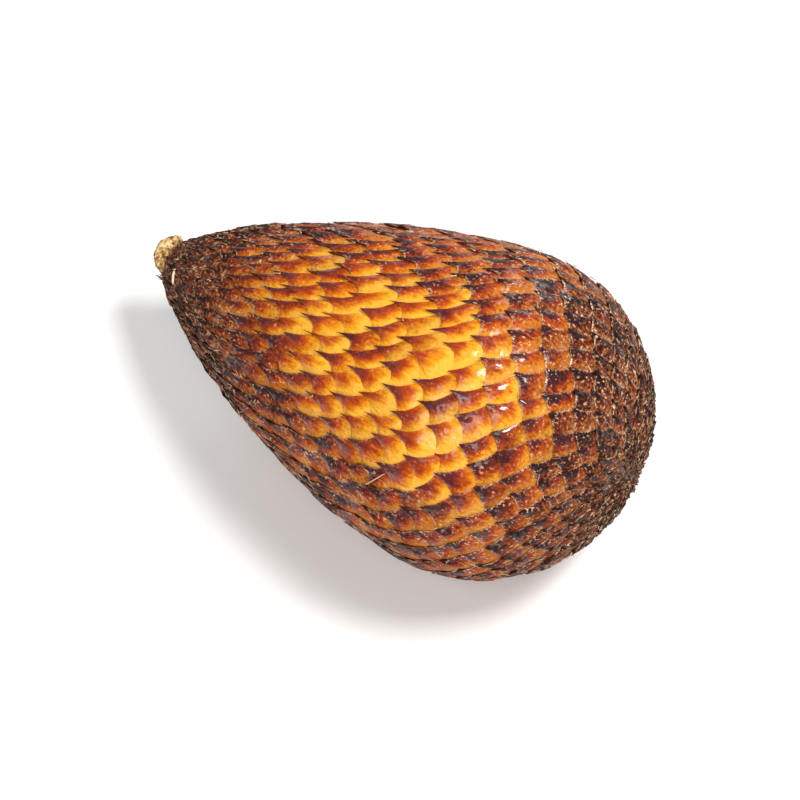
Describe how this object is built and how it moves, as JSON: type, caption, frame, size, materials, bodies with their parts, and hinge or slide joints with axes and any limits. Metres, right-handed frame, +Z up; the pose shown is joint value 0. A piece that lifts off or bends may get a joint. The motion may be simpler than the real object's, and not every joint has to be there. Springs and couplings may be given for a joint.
{
  "type": "snake fruit",
  "caption": "Whole snake fruit: a drop-shaped body covered in overlapping pointed scales, with a short corky stalk stump, lying on its side.",
  "frame": {"origin": "on the small flat spot that the fruit rests on, straight under its weight", "axes": "+Z up, +X along the fruit from the stalk end to the round end"},
  "size_m": [0.0717, 0.0447, 0.0434],
  "materials": {
    "scaly_skin": "glossy dry scales, golden to red-brown, dark at their tips",
    "stalk_cork": "dull straw-coloured cork"
  },
  "bodies": {
    "root": {"fruit": "scaly_skin", "stalk_stump": "stalk_cork"}
  },
  "joints": []
}
